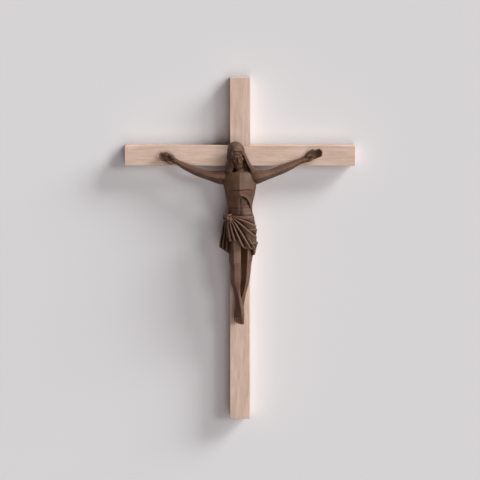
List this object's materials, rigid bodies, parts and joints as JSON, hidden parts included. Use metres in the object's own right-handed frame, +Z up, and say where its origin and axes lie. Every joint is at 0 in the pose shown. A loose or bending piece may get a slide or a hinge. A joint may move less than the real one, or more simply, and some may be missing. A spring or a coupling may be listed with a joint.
{
  "type": "crucifix corpus figure",
  "caption": "Carved dark corpus with outstretched arms, crossed feet and a knotted pleated loincloth, fixed to a plain pale wooden wall cross of two lapped beams.",
  "frame": {"origin": "centre of the crossing of the two beams, on the flat back face that lies against the wall", "axes": "+X to the viewer's right, +Y into the wall, +Z up along the upright; the figure faces -Y"},
  "size_m": [0.2, 0.0381, 0.3],
  "materials": {
    "pale_wood": "bare planed pale hardwood, matt, fine straight grain along each beam",
    "dark_stained_wood": "carved wood stained dark brown, matt, worn a little lighter on the edges"
  },
  "bodies": {
    "root": {"cross_upright": "pale_wood", "crossbar": "pale_wood", "corpus": "dark_stained_wood"}
  },
  "joints": []
}
